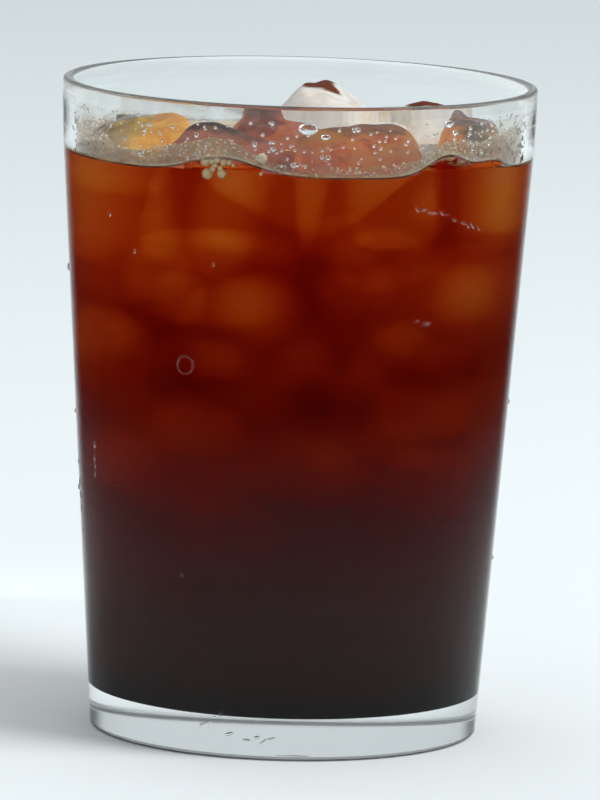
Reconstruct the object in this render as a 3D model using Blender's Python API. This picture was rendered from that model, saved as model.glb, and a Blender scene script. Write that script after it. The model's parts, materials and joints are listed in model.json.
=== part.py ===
"""Iced americano in a clear straight-sided tumbler, with rounded ice and a rim of foam.

Units are metres and +Z is up. The origin is the centre of the foot, where the glass stands,
and -Y is the side that is usually looked at.
"""
import math
import random

import bmesh
import bpy
from mathutils import Euler, Matrix, Vector

MM = 0.001
GAP = 0.3 * MM                    # clearance between pieces that touch
ROUND_STEPS = 64                  # facets round the glass and the drink

# Glass
GLASS_HEIGHT = 120.0 * MM
FOOT_WALL_RADIUS = 35.7 * MM      # outer wall, carried down to the floor
WALL_SLOPE = 0.0694               # how far the wall leans out for each metre of height
WALL_THICKNESS = 2.2 * MM
STRAIGHTEN_FROM = 106.0 * MM      # above this height the wall turns upright
BEND_HEIGHT = 112.0 * MM          # halfway along that turn
THIN_FROM = 108.0 * MM            # above this height the wall gets thinner
RIM_THINNING = 0.3 * MM           # how much thinner it is at the rim
RIM_CORNER = 0.6 * MM             # rounding of both edges of the rim
HEEL_WIDTH = 0.7 * MM
HEEL_HEIGHT = 0.8 * MM
PUNT_RADIUS = 28.5 * MM           # shallow hollow under the foot
PUNT_RISE = 0.2 * MM
FLOOR_HEIGHT = 7.5 * MM           # thick clear base
FLOOR_FILLET = 3.0 * MM

# Drink
LEVEL = 107.0 * MM                # still surface of the coffee
CLIMB_WIDTH = 16.0 * MM           # ring along the wall where the surface is drawn up
CLIMBS = (                        # where ice near the wall draws the coffee up it:
    (-19.0, 12.0, 3.0 * MM),      # bearing in degrees from the front, width, rise
    (40.0, 8.0, 3.6 * MM),
    (56.0, 9.0, 2.0 * MM),
    (150.0, 16.0, 2.4 * MM),
    (-128.0, 14.0, 2.0 * MM),
)

# Ice that stands out of the drink:
# name, x, y and top in mm, size in mm, turn in degrees, phase of the melted waves
ICE = (
    ("ice_back", 2.5, 25.0, 118.3, (18.5, 16.5, 23.0), (8.0, 37.0, 4.0), 0.4),
    ("ice_back_right", 23.4, 16.4, 115.4, (14.5, 13.5, 21.0), (-14.0, 22.0, 20.0), 1.7),
    ("ice_left", -26.0, 5.0, 112.2, (17.5, 22.0, 24.0), (7.0, -12.0, 8.0), 2.9),
    ("ice_front_left", -14.6, -19.0, 113.9, (18.0, 18.0, 23.0), (12.0, 14.0, -20.0), 4.1),
    ("ice_middle", -5.0, 2.8, 114.0, (17.0, 16.5, 23.0), (-13.0, 9.0, 8.0), 5.3),
    ("ice_front", 11.0, -22.8, 114.6, (23.0, 15.5, 22.0), (8.0, -6.0, 5.0), 0.9),
    ("ice_clear", 14.0, -3.6, 113.2, (13.5, 14.0, 21.0), (-8.0, -3.0, 12.0), 3.3),
    ("ice_right", 30.6, -5.0, 114.2, (11.0, 19.0, 22.0), (8.0, 5.0, -6.0), 2.2),
)
ICE_CUTS = 4                      # lines across each side of a cube before rounding
ICE_LINE_SPREAD = 0.72            # below 1, lines crowd towards the rounded edges
ICE_ROUNDING = 0.42               # edge radius as a share of half the side
ICE_WAVE = 0.045                  # melted unevenness as a share of the size

# Foam along the wall
FOAM_STEPS = 72
FOAM_START = 3.0                  # radius of the ring before it is put along the wall
FOAM_WIDTH = 4.5 * MM             # from the wall inwards
FOAM_HEIGHT = 2.0 * MM            # up the wall
FOAM_MOUNDS = (                   # bearing, width in degrees, extra width, extra height
    (-70.0, 26.0, 1.5 * MM, 2.2 * MM),
    (-24.0, 11.0, 0.8 * MM, 2.2 * MM),
    (40.0, 12.0, 0.6 * MM, 1.0 * MM),
    (74.0, 22.0, 1.6 * MM, 4.0 * MM),
    (165.0, 30.0, 1.0 * MM, 0.4 * MM),
    (-140.0, 26.0, 1.0 * MM, 0.5 * MM),
)
FOAM_SECTION = (                  # across from the wall, up from the drink, as shares
    (0.0, 0.0), (1.0, 0.0), (1.0, 0.34), (0.62, 0.46), (0.24, 0.72), (0.0, 1.0),
)
BUBBLE_STARTS = ((-24.0, 9), (-60.0, 4), (36.0, 3), (66.0, 4), (150.0, 3), (-135.0, 3))
BUBBLE_SPREAD = 9.0               # degrees
BUBBLE_RADII = (0.55 * MM, 1.15 * MM)
BUBBLE_SEED = 11


def clear_scene():
    """Removes whatever the file held before."""
    for obj in list(bpy.data.objects):
        bpy.data.objects.remove(obj)


def make_material(name, colour, roughness, transmission=0.0, ior=1.45):
    """Returns a plain Principled material."""
    material = bpy.data.materials.new(name)
    material.use_nodes = True
    material.diffuse_color = (*colour, 1.0)
    shader = material.node_tree.nodes["Principled BSDF"]
    shader.inputs["Base Color"].default_value = (*colour, 1.0)
    shader.inputs["Roughness"].default_value = roughness
    shader.inputs["Metallic"].default_value = 0.0
    shader.inputs["Transmission Weight"].default_value = transmission
    shader.inputs["IOR"].default_value = ior
    return material


def make_object(name, work, material):
    """Turns a bmesh into a smooth-shaded object."""
    bmesh.ops.remove_doubles(work, verts=work.verts, dist=0.001 * MM)
    bmesh.ops.recalc_face_normals(work, faces=work.faces)
    mesh = bpy.data.meshes.new(name)
    work.to_mesh(mesh)
    work.free()
    mesh.shade_smooth()
    mesh.set_sharp_from_angle(angle=math.radians(40))
    obj = bpy.data.objects.new(name, mesh)
    bpy.context.scene.collection.objects.link(obj)
    mesh.materials.append(material)
    return obj


def make_guide_collection(name, objects):
    """Gathers cutters or small pieces in a collection that a Boolean can name."""
    collection = bpy.data.collections.new(name)
    bpy.context.scene.collection.children.link(collection)
    for obj in objects:
        for holder in list(obj.users_collection):
            holder.objects.unlink(obj)
        collection.objects.link(obj)
        obj.hide_render = True
        obj.display_type = "WIRE"
    return collection


def apply_boolean(obj, operation, collection):
    """Joins or cuts an object with everything in a collection, and keeps the result."""
    modifier = obj.modifiers.new(operation.lower(), "BOOLEAN")
    modifier.operation = operation
    modifier.operand_type = "COLLECTION"
    modifier.collection = collection
    modifier.solver = "EXACT"
    graph = bpy.context.evaluated_depsgraph_get()
    cut = bpy.data.meshes.new_from_object(obj.evaluated_get(graph))
    obj.modifiers.clear()
    old = obj.data
    obj.data = cut
    bpy.data.meshes.remove(old)


def arc(centre, radii, start, end, steps):
    """Points on an elliptic arc in the r-z plane, angles in degrees."""
    points = []
    for step in range(steps + 1):
        angle = math.radians(start + (end - start) * step / steps)
        points.append((centre[0] + radii[0] * math.cos(angle),
                       centre[1] + radii[1] * math.sin(angle)))
    return points


def outer_radius(z):
    """Outer wall of the glass: a straight taper that turns upright near the rim."""
    above = max(0.0, z - STRAIGHTEN_FROM)
    span = GLASS_HEIGHT - STRAIGHTEN_FROM
    return FOOT_WALL_RADIUS + WALL_SLOPE * (z - above * above / (2 * span))


def inner_radius(z):
    """Inner wall of the glass, which turns thinner towards the rim."""
    share = max(0.0, (z - THIN_FROM) / (GLASS_HEIGHT - THIN_FROM))
    return outer_radius(z) - WALL_THICKNESS + RIM_THINNING * share * share * (3.0 - 2.0 * share)


def floor_corner(clearance):
    """Rounded inner corner of the floor, set in from the glass by the clearance."""
    low = FLOOR_HEIGHT + clearance
    high = FLOOR_HEIGHT + FLOOR_FILLET
    across = inner_radius(high) - clearance
    reach = FLOOR_FILLET - clearance
    return arc((across - reach, low + reach), (reach, reach), -90, 0, 3)


def spin_profile(profile):
    """Turns a profile of (r, z) points about the Z axis into a closed body."""
    work = bmesh.new()
    verts = [work.verts.new((r, 0.0, z)) for r, z in profile]
    edges = [work.edges.new(pair) for pair in zip(verts, verts[1:])]
    bmesh.ops.spin(work, geom=verts + edges, cent=(0, 0, 0), axis=(0, 0, 1),
                   angle=2 * math.pi, steps=ROUND_STEPS, use_merge=True)
    return work


def make_glass(material):
    """Tumbler with a shallow hollow under its foot, a thick base and a rounded rim."""
    rim_height = GLASS_HEIGHT - RIM_CORNER
    profile = []
    for step in range(3):
        share = step / 3
        profile.append((PUNT_RADIUS * share, PUNT_RISE * (1 - share * share)))
    profile.append((PUNT_RADIUS, 0.0))
    heel_radius = outer_radius(HEEL_HEIGHT)
    profile += arc((heel_radius - HEEL_WIDTH, HEEL_HEIGHT), (HEEL_WIDTH, HEEL_HEIGHT), -90, 0, 3)
    for height in (STRAIGHTEN_FROM, BEND_HEIGHT):
        profile.append((outer_radius(height), height))
    outer_corner = (outer_radius(rim_height) - RIM_CORNER, rim_height)
    inner_corner = (inner_radius(rim_height) + RIM_CORNER, rim_height)
    profile += arc(outer_corner, (RIM_CORNER, RIM_CORNER), 0, 90, 3)
    profile += arc(inner_corner, (RIM_CORNER, RIM_CORNER), 90, 180, 3)
    for height in (BEND_HEIGHT, STRAIGHTEN_FROM):
        profile.append((inner_radius(height), height))
    profile += reversed(floor_corner(0.0))
    profile.append((0.0, FLOOR_HEIGHT))
    return make_object("glass", spin_profile(profile), material)


def bearing_of(point):
    """Bearing round the glass in degrees: 0 at the front (-Y), 90 at the right (+X)."""
    return math.degrees(math.atan2(point.x, -point.y))


def hump(bearing, middle, width):
    """A smooth bump of height 1 round a bearing."""
    away = (bearing - middle + 180.0) % 360.0 - 180.0
    return math.exp(-(away / width) ** 2)


def water_line(bearing):
    """Height of the coffee against the wall."""
    return LEVEL + sum(rise * hump(bearing, middle, width) for middle, width, rise in CLIMBS)


def surface_height(point):
    """Height of the coffee's surface, which is drawn up in a ring along the wall."""
    across = math.hypot(point.x, point.y)
    inside = inner_radius(LEVEL) - GAP - CLIMB_WIDTH
    share = min(1.0, max(0.0, (across - inside) / CLIMB_WIDTH))
    return LEVEL + (water_line(bearing_of(point)) - LEVEL) * share * share


def make_coffee(material, cutters):
    """Drink up to its surface, cut round the ice that stands out of it."""
    profile = [(0.0, FLOOR_HEIGHT + GAP)] + floor_corner(GAP)
    profile.append((inner_radius(LEVEL) - GAP, LEVEL))
    edge = inner_radius(LEVEL) - GAP
    for share in (0.2, 0.4, 0.6, 0.8, 1.0):
        profile.append((edge - CLIMB_WIDTH * share, LEVEL))
    profile.append((0.0, LEVEL))
    work = spin_profile(profile)
    for vert in work.verts:
        if vert.co.z > LEVEL - GAP:
            vert.co.z = surface_height(vert.co)
    coffee = make_object("coffee", work, material)
    apply_boolean(coffee, "DIFFERENCE", cutters)
    return coffee


def ice_body(size, turn, phase, grow):
    """A melted cube: rounded edges, wavy sides and a turn, centred on the origin."""
    half = [0.5 * side * MM for side in size]
    work = bmesh.new()
    bmesh.ops.create_cube(work, size=2.0)
    bmesh.ops.subdivide_edges(work, edges=work.edges, cuts=ICE_CUTS, use_grid_fill=True)
    core = 1.0 - ICE_ROUNDING
    for vert in work.verts:
        spread = Vector(math.copysign(abs(part) ** ICE_LINE_SPREAD, part) for part in vert.co)
        inner = Vector(min(core, max(-core, part)) for part in spread)
        rounded = inner + (spread - inner).normalized() * ICE_ROUNDING
        wave = (math.sin(2.1 * rounded.x + 1.3 * rounded.y + phase)
                + math.sin(2.6 * rounded.y - 1.7 * rounded.z + 2.0 * phase)
                + math.sin(2.3 * rounded.z + 1.9 * rounded.x - phase))
        rounded *= 1.0 + ICE_WAVE * wave * 0.5
        vert.co = Vector(rounded[axis] * (half[axis] + grow) for axis in range(3))
    turned = Euler([math.radians(angle) for angle in turn])
    bmesh.ops.rotate(work, verts=work.verts, cent=(0, 0, 0), matrix=turned.to_matrix())
    return work


def place_ice(name, x, y, top, size, turn, phase, grow, material):
    """Puts a cube so that its highest point is at the height asked for."""
    work = ice_body(size, turn, phase, grow)
    lift = top * MM + grow - max(vert.co.z for vert in work.verts)
    bmesh.ops.translate(work, verts=work.verts, vec=(x * MM, y * MM, lift))
    return make_object(name, work, material)


def foam_amount(bearing, column):
    """Extra width (column 0) or height (column 1) of the foam at a bearing."""
    return sum(mound[2 + column] * hump(bearing, mound[0], mound[1]) for mound in FOAM_MOUNDS)


def foam_point(bearing, across, up):
    """A point of the foam from its shares across and up at a bearing."""
    angle = math.radians(bearing)
    ripple = 1.0 + 0.16 * math.sin(7 * angle) + 0.1 * math.sin(17 * angle)
    width = (FOAM_WIDTH + foam_amount(bearing, 0)) * ripple
    height = (FOAM_HEIGHT + foam_amount(bearing, 1)) * ripple
    direction = Vector((math.sin(angle), -math.cos(angle), 0.0))
    foot = direction * (inner_radius(LEVEL) - GAP - width * across)
    low = surface_height(foot) + GAP
    z = low + height * up
    return direction * min(foot.length, inner_radius(z) - GAP) + Vector((0.0, 0.0, z))


def make_bubbles(material):
    """Larger bubbles that sit on the foam in small clusters."""
    draw = random.Random(BUBBLE_SEED)
    bubbles = []
    for start, count in BUBBLE_STARTS:
        for number in range(count):
            radius = draw.uniform(*BUBBLE_RADII)
            bearing = start + draw.uniform(-BUBBLE_SPREAD, BUBBLE_SPREAD)
            middle = foam_point(bearing, draw.uniform(0.35, 0.8), 0.6)
            middle.z = max(middle.z, surface_height(middle) + GAP + radius)
            work = bmesh.new()
            bmesh.ops.create_icosphere(work, subdivisions=2, radius=radius,
                                       matrix=Matrix.Translation(middle))
            bubbles.append(make_object(f"bubble_{start:.0f}_{number}", work, material))
    return bubbles


def make_foam(material, cutters):
    """Uneven ring of foam that lies on the coffee and climbs the wall."""
    work = bmesh.new()
    section = [work.verts.new((FOAM_START - across, 0.0, up)) for across, up in FOAM_SECTION]
    edges = [work.edges.new((section[i], section[i - 1])) for i in range(len(section))]
    bmesh.ops.spin(work, geom=section + edges, cent=(0, 0, 0), axis=(0, 0, 1),
                   angle=2 * math.pi, steps=FOAM_STEPS, use_merge=True)
    for vert in work.verts:
        across = FOAM_START - math.hypot(vert.co.x, vert.co.y)
        vert.co = foam_point(bearing_of(vert.co), across, vert.co.z)
    foam = make_object("foam", work, material)
    bubbles = make_bubbles(material)
    apply_boolean(foam, "UNION", make_guide_collection("bubbles", bubbles))
    for bubble in bubbles:
        bpy.data.objects.remove(bubble)
    apply_boolean(foam, "DIFFERENCE", cutters)
    return foam


def main():
    """Builds the glass, the ice, the drink round the ice, and the foam."""
    clear_scene()
    glass = make_material("clear_glass", (0.93, 0.96, 0.97), 0.02, 1.0, 1.5)
    drink = make_material("coffee", (0.16, 0.03, 0.008), 0.04, 0.6, 1.333)
    frozen = make_material("ice", (0.86, 0.78, 0.70), 0.12, 0.8, 1.31)
    froth = make_material("foam", (0.62, 0.52, 0.40), 0.45)
    make_glass(glass)
    for piece in ICE:
        place_ice(*piece, 0.0, frozen)
    grown = [place_ice("cutter_" + piece[0], *piece[1:], GAP, frozen) for piece in ICE]
    cutters = make_guide_collection("ice_cutters", grown)
    make_coffee(drink, cutters)
    make_foam(froth, cutters)


main()
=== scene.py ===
"""Iced americano in a clear tumbler: the finish of the glass, the drink, its ice and its foam.

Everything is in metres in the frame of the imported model: +Z up, origin at the middle of the foot,
-Y towards the viewer. Sizes that the solids already have are read from the frame.
"""
import json
import math
import random

import bmesh
import bpy
import numpy
from bpy.props import FloatProperty, FloatVectorProperty, IntProperty, PointerProperty
from mathutils import Euler, Matrix, Vector, noise

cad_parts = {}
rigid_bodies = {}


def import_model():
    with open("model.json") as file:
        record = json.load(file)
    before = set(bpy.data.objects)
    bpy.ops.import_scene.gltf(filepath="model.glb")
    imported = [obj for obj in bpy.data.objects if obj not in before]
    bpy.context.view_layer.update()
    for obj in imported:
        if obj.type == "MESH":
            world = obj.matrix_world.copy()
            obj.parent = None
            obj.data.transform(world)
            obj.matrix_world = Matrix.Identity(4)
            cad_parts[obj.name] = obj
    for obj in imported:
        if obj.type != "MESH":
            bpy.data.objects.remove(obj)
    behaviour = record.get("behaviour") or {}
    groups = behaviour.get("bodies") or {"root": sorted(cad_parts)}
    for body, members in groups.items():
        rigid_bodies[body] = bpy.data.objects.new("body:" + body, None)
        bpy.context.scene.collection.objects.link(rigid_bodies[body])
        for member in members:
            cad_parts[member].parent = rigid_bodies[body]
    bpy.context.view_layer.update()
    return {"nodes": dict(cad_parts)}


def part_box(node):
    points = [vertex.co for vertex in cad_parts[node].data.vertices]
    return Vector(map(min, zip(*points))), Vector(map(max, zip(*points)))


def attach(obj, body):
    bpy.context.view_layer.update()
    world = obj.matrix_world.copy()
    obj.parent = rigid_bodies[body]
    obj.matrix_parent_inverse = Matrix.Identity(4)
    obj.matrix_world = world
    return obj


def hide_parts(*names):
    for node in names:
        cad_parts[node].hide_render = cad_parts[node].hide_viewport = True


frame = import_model()

bl_info = {
    "name": "Iced Americano",
    "version": (1, 0, 0),
    "blender": (4, 5, 0),
    "location": "3D View > Sidebar > Drink",
    "description": "Builds a glass of iced black coffee with rounded ice and foam",
    "category": "Add Mesh",
}

MM = 0.001
BODY = "root"
STANDING_ICE = sorted(name for name in frame["nodes"] if name.startswith("ice_"))
GLASS_LOW, GLASS_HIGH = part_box("glass")
WHITE = (1.0, 1.0, 1.0)

# Steps of turned shapes, and small distances between pieces
ROUND_STEPS = 160                 # round the glass and the coffee
FOAM_STEPS = 360                  # round the foam
OVERLAP = 0.15 * MM               # how far the drink reaches into the glass
ICE_GAP = 0.4 * MM                # free space that sunk ice keeps round itself
ICE_HOLLOW = 0.03 * MM            # how far the coffee stays away from ice
BUBBLE_HOLLOW = 0.04 * MM         # how far it stays away from a bubble
BUBBLE_GAP = 0.05 * MM            # how far small bubbles stay away from the glass
FLOOR_DROP = 0.1 * MM             # keeps the floor apart from the foot, so that both show cleanly

# How strongly each clear thing bends light
GLASS_IOR = 1.5
DRINK_IOR = 1.333
ICE_IOR = 1.31
BUBBLE_IOR = 1.4

# Glass
THIN_FROM = 108.0 * MM            # height above which the wall gets thinner
EDGE_MIRROR = (0.74, 1.0)         # how far a face turns away while its mirror share grows to 1
MIRROR_HEIGHTS = (20.0 * MM, 70.0 * MM)
LEAST_MIRROR = (0.42, 0.02)       # least mirror share at those two heights
WET_ROUGHNESS = 0.08              # of the wall with coffee against it
# Painted light on the glass: a whitish band under the rim paints its bright reflection, and the heel is
# whitened over the shade seen through it
PAINTED_LIGHT_COLOUR = (0.95, 0.96, 0.95, 1.0)
RIM_HIGHLIGHT_BAND = 3.5 * MM              # height of the band of painted highlight under the rim
LEAST_RIM_HIGHLIGHT = 0.07                 # how strong the painted highlight is at the front
MOST_RIM_HIGHLIGHT = 0.3                   # how strong it is at the sides
HEEL_PAINTED_LIGHT = 0.6                   # painted light on the edge of the foot, over the shade seen through it

# Coffee, with heights as shares of its level
CLIMB_POWER = 2                   # the surface turns up more sharply at the wall for larger values
DEEP_UP_TO = 0.16                 # the deep tint ends here
TINT_STEPS = ((0.37, 0.15), (0.54, 0.28), (0.7, 0.47), (0.84, 0.86))   # height, strength of the red
GOLDEN_AT = 0.965
CLEAR_AT = 0.993

# Ice
WAVINESS = 0.07                   # how uneven the sides of sunk ice are, as a share of its size
LOOSE_TRIES = 900                 # how often a place for a loose piece is looked for
SINK_STEP = 1.5 * MM              # how much lower a loose piece is tried each time
SHRINKS = (1.0, 0.94, 0.88, 0.82, 0.76, 0.7, 0.64, 0.58)   # sizes tried for ice at the front
ICE_ROUGHNESS = 0.05
ICE_SHINE = 0.3                   # share of a clear place of the ice that mirrors
CLOUD_STREAKS = (0.3, 0.6)        # noise between which ice goes from clear to cloudy
DENT_SIZE = 4.5 * MM              # width of the dents in standing ice
DENT_DEPTH = 0.35 * MM
SADDLE_X = 2.6 * MM               # dip in the top of the back piece of ice
SADDLE_WIDTH = 2.0 * MM
SADDLE_DEPTH = 1.3 * MM
SADDLE_REACH = 4.0 * MM
TIP_DEPTH = 1.3 * MM              # how far down from its top a piece of ice is browned
TIP_FADE = 0.4                    # share of that depth over which the brown ends
# Looks of standing ice: colour, cloudiness, colour of the cloud, colour of the coffee on its tips
CLEAR_LOOK = (0.9, (0.98, 0.97, 0.93), (0.19, 0.055, 0.028))
# Painted light and shade: the amber, tawny and brown looks colour one clear ice, tips too, like the
# coffee light through it, bright in amber and dark in brown
PAINTED_ICE_LOOKS = {
    "amber": ((1.0, 0.7, 0.2), 0.65, (1.0, 0.62, 0.12), (0.85, 0.45, 0.08)),
    "tawny": ((0.9, 0.44, 0.12), 0.4, (0.85, 0.39, 0.09), (0.5, 0.2, 0.08)),
    "brown": ((0.5, 0.16, 0.09), 0.5, (0.46, 0.2, 0.14), (0.1, 0.022, 0.013)),
}
ICE_KINDS = {"ice_left": "amber", "ice_front": "tawny", "ice_right": "tawny",
             "ice_front_left": "brown", "ice_middle": "brown"}

# Stage
KEY_PLACE = (1.4, -0.6, 1.5)
KEY_TARGET = (0, 0, 0.05)
STRIP_PLACE = (-0.2, 0.35, 0.95)
STRIP_TARGET = (0, 0, 0.1)
SPOT_PLACE = (0.3, -0.5, 0.85)
SPOT_TARGET = (0.003, 0.01, 0.114)
PALE_SURROUND = (0.76, 0.82, 0.84, 1.0)
DARK_SURROUND = (0.12, 0.14, 0.16, 1.0)
DARK_SIDEWAYS = (0.82, 0.97)      # how far to the side the surround turns dark
DARK_BELOW = (0.55, 0.25)         # how low it does
CAMERA_TURN = -0.00106            # radians

# Where the coffee is drawn up the wall: bearing from the front, width in degrees, rise
CLIMBS = (
    (-19.0, 12.0, 3.0 * MM),
    (40.0, 8.0, 3.6 * MM),
    (56.0, 9.0, 2.0 * MM),
    (150.0, 16.0, 2.4 * MM),
    (-128.0, 14.0, 2.0 * MM),
)
# Where the foam is deeper: bearing, width in degrees, extra width, extra height
FOAM_MOUNDS = (
    (-70.0, 26.0, 1.5 * MM, 2.2 * MM),
    (-24.0, 11.0, 0.8 * MM, 2.2 * MM),
    (40.0, 12.0, 0.6 * MM, 1.0 * MM),
    (74.0, 22.0, 1.6 * MM, 4.0 * MM),
    (165.0, 30.0, 1.0 * MM, 0.4 * MM),
    (-140.0, 26.0, 1.0 * MM, 0.5 * MM),
)
# Where mist and small bubbles cover the wall above the coffee: bearing, width, cover, height
MIST = (
    (-90.0, 18.0, 0.62, 7.5 * MM),
    (-60.0, 16.0, 0.2, 6.0 * MM),
    (-14.0, 26.0, 0.07, 6.0 * MM),
    (28.0, 24.0, 0.1, 6.0 * MM),
    (80.0, 24.0, 0.65, 8.5 * MM),
)
# Single drops of water on the wall: bearing, height, radius, how far they stand out
LARGE_DROPS = (
    (2.2, 116.0 * MM, 1.7 * MM, 0.8 * MM),
    (39.4, 116.6 * MM, 1.1 * MM, 0.6 * MM),
    (41.5, 114.9 * MM, 0.7 * MM, 0.4 * MM),
    (6.5, 114.6 * MM, 0.8 * MM, 0.4 * MM),
)
# Bubbles in a cluster at the edge of the coffee: way along the wall, height and radius in mm
CLUSTER_BEARING = -19.6
CLUSTER = (
    (-2.7, 107.0, 1.05), (0.1, 107.2, 0.9), (-3.1, 109.3, 1.0), (-1.5, 108.0, 0.55),
    (-1.1, 108.7, 0.55), (-0.1, 108.2, 0.5), (0.5, 109.2, 0.6), (1.6, 109.3, 0.5),
    (2.4, 108.9, 0.35), (-0.7, 109.6, 0.55), (-1.7, 109.3, 0.5), (-2.3, 110.4, 0.5),
    (7.5, 110.3, 0.95), (6.0, 109.4, 0.6), (7.4, 107.6, 0.35),
)
# Ring-shaped water mark: bearing, height, radius, half thickness
RING_MARK = (-28.3, 72.0 * MM, 1.6 * MM, 0.2 * MM)
# Section of the foam as shares of its width inwards and its height, round from the foot of the wall
FOAM_SECTION = (
    (0.0, 0.0), (0.35, 0.0), (0.7, 0.0), (1.0, 0.04), (1.02, 0.2), (0.92, 0.34), (0.78, 0.42),
    (0.62, 0.46), (0.45, 0.53), (0.3, 0.64), (0.18, 0.78), (0.1, 0.91), (0.04, 0.98), (0.0, 1.0),
    (0.0, 0.9), (0.0, 0.8), (0.0, 0.7), (0.0, 0.6), (0.0, 0.5), (0.0, 0.4), (0.0, 0.32), (0.0, 0.25),
    (0.0, 0.18), (0.0, 0.12), (0.0, 0.08), (0.0, 0.04),
)
FOAM_TOP_POINTS = FOAM_SECTION[3:14]   # the part of it that faces up
FOAM_DENSE_HEIGHT = 2.0 * MM      # mounds at least this tall look dense
AT_WALL = 0.02                    # share across the foam up to which a place is at the wall
THIN_COVER = 0.14                 # how much the foam hides where it is flat
MOUND_COVER = 0.5                 # how much more a mound hides
EDGE_COVER = 0.8                  # how much more the line along the edge of the coffee hides
LINE_HEIGHT = 0.9 * MM            # height of that line
BACK_FADE = 0.5                   # how much thinner the foam looks at the back
BACK_FROM = 90.0                  # bearing from which it gets thinner
BACK_AFTER = 30.0                 # degrees over which it does
FILM_TOP = 9.0 * MM               # height of the film of mist above the coffee
FILM_ROWS = 18
FILM_DEPTHS = (0.06 * MM, 0.02 * MM)   # distance of its two faces from the glass
FILM_START = 0.3                  # the film's lowest colour step
FOAM_GLOW = 0.65                  # share of its light that comes through the foam
CELL_TONES = ((0.0, 0.25), (1.05, 0.92))   # distance from the edge of a cell, tone
PATCH_COVER = ((0.3, 0.7), (0.15, 1.7))    # noise, share of the cover that shows
# Colours of the foam at steps upwards from the coffee
RISE_SPAN = 8.0 * MM              # a step of 1
INNER_STEP = 0.15                 # the step of foam away from the wall
EDGE_LINES = ((0.03, (0.13, 0.045, 0.02)), (0.055, (0.92, 0.78, 0.54)), (0.1, (0.56, 0.38, 0.23)))
FOAM_BODY = 0.22                  # the foam has its own colour here
UPPER_FOAM = ((0.5, (0.61, 0.45, 0.28)), (0.9, (0.78, 0.69, 0.54)))
# Small bubbles: how many, and the range of their radii
FLAT_SHARE = 0.25                 # share of the bubbles that are kept where the foam is flat
BUBBLES_UP_TO = 112.0             # bearing past which the foam has no single bubbles
FOAM_BUBBLES = 700
FOAM_BUBBLE_RADII = (0.1, 0.34)
MOUND_BUBBLES = 110               # against the wall in each of the first mounds
MOUND_BUBBLE_RADII = (0.1, 0.26)
BUBBLY_MOUNDS = FOAM_MOUNDS[:4]
# Small drops on the inner wall: how many, how far round and up, share and radii of the small ones
DROPS = 420
DROPS_UP_TO = 74.0
DROP_RISES = (0.5, 9.5)
SMALL_SHARE = 0.8
SMALL_DROPS = (0.16, 0.30)
MIDDLING_DROPS = (0.26, 0.46)
DRY_RIM = 3.0 * MM                # height under the rim without drops
# Rows of water marks outside: bearing and height of both ends, number of strokes, how thick they are
WATER_MARKS = (
    (29.6, 102.1, 51.3, 96.9, 11, 0.16),
    (32.0, 80.6, 37.0, 80.1, 3, 0.16),
    (-64.6, 54.9, -65.2, 46.8, 6, 0.16),
    (-84.0, 50.0, -80.0, 36.0, 5, 0.16),
    (-15.8, 4.2, -1.0, 3.9, 5, 0.05),
    (-25.0, 4.8, -17.5, 8.2, 5, 0.05),
)
# Single drops outside: bearing, height and radius
OUTER_DROPS = (
    (-20.6, 90.8, 0.35), (-52.7, 97.6, 0.4), (-43.7, 91.6, 0.35), (-89.0, 84.6, 0.7),
    (-88.0, 58.0, 0.45), (-86.0, 44.0, 0.5), (88.0, 62.0, 0.45), (86.0, 33.0, 0.4), (-30.0, 33.0, 0.3),
)
# Ice that shows through the front of the drink: middle, size, turn in degrees, phase of its waves
FRONT_ICE = (
    ((-27.6, -14.8, 91.5), (13.0, 15.0, 26.0), (4.0, -6.0, 24.0), 0.3),
    ((-18.5, -19.0, 82.5), (14.0, 15.0, 16.0), (8.0, 5.0, -10.0), 1.1),
    ((-5.5, -23.5, 86.0), (12.0, 15.0, 17.0), (-6.0, 16.0, 8.0), 2.7),
    ((7.0, -24.0, 84.0), (11.0, 14.0, 15.0), (5.0, -8.0, 12.0), 0.8),
    ((27.0, -11.5, 84.0), (15.0, 20.0, 16.0), (6.0, 8.0, -20.0), 3.4),
    ((-14.8, -20.0, 72.0), (19.0, 15.0, 9.5), (3.0, 12.0, -6.0), 4.2),
    ((15.0, -18.5, 74.5), (25.0, 13.0, 11.0), (4.0, -38.0, 8.0), 5.0),
    ((21.0, -13.0, 61.5), (19.0, 14.0, 8.5), (6.0, -6.0, -14.0), 1.9),
    ((-15.0, -17.0, 58.5), (17.0, 14.0, 10.0), (-8.0, 4.0, 10.0), 0.5),
    ((-1.5, -13.0, 62.0), (13.0, 15.0, 12.0), (14.0, 10.0, 30.0), 3.0),
    ((-9.8, -20.0, 50.0), (14.0, 12.0, 9.0), (6.0, -4.0, 6.0), 2.2),
    ((-9.5, -15.5, 39.5), (24.0, 18.0, 15.0), (-4.0, 3.0, -8.0), 1.4),
    ((22.0, -9.5, 48.5), (16.0, 17.0, 14.0), (9.0, 12.0, 22.0), 4.8),
)


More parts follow.
